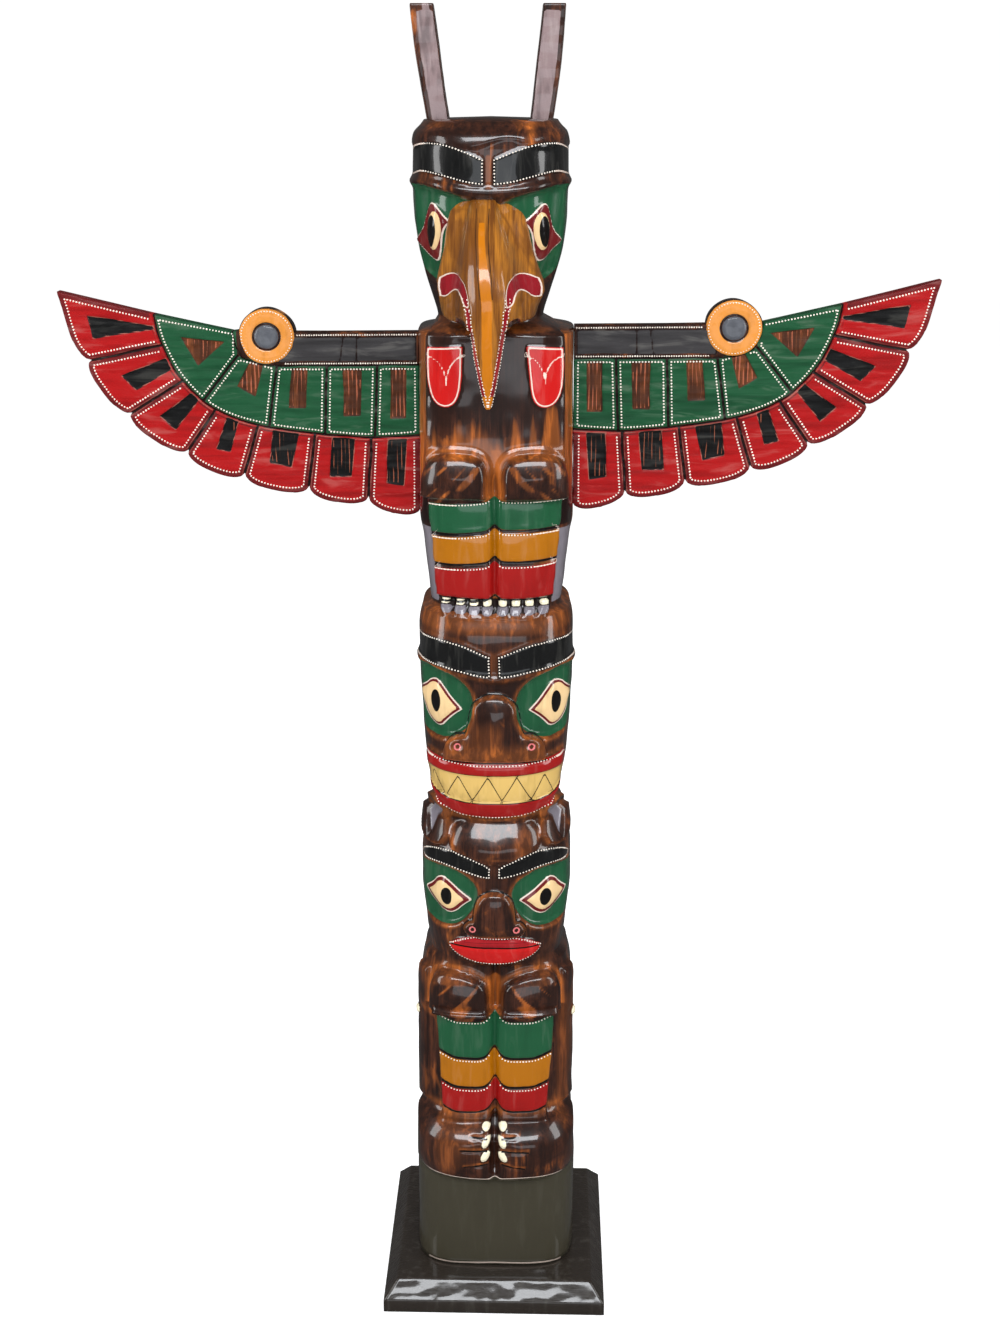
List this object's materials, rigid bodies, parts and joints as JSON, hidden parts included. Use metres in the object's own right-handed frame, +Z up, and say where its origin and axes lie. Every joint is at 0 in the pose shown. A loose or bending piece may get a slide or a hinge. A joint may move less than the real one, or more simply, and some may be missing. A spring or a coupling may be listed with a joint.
{
  "type": "totem pole",
  "caption": "Carved and painted wooden totem pole: a winged, hook-beaked bird with horns over a toothed beast and a bear, on a square plinth; stands as an ornament.",
  "frame": {"origin": "centre of the plinth's flat underside, on the floor", "axes": "+Z up the pole, the figures face -Y, +X to the right of someone facing the figures"},
  "size_m": [0.9776, 0.2872, 1.5],
  "materials": {
    "carved_log": "carved, stained and painted, clear gloss lacquer",
    "beak_wood": "ochre paint brushed along the grain, clear gloss lacquer",
    "wing_boards": "red, green and black paint with white dots, satin lacquer",
    "horn_slats": "stained wood under high gloss lacquer",
    "plinth_wood": "near-black stain with tool marks, gloss lacquer"
  },
  "bodies": {
    "root": {"pole": "carved_log", "beak": "beak_wood", "wing_left": "wing_boards", "wing_right": "wing_boards", "horn_left": "horn_slats", "horn_right": "horn_slats", "plinth": "plinth_wood"}
  },
  "joints": []
}
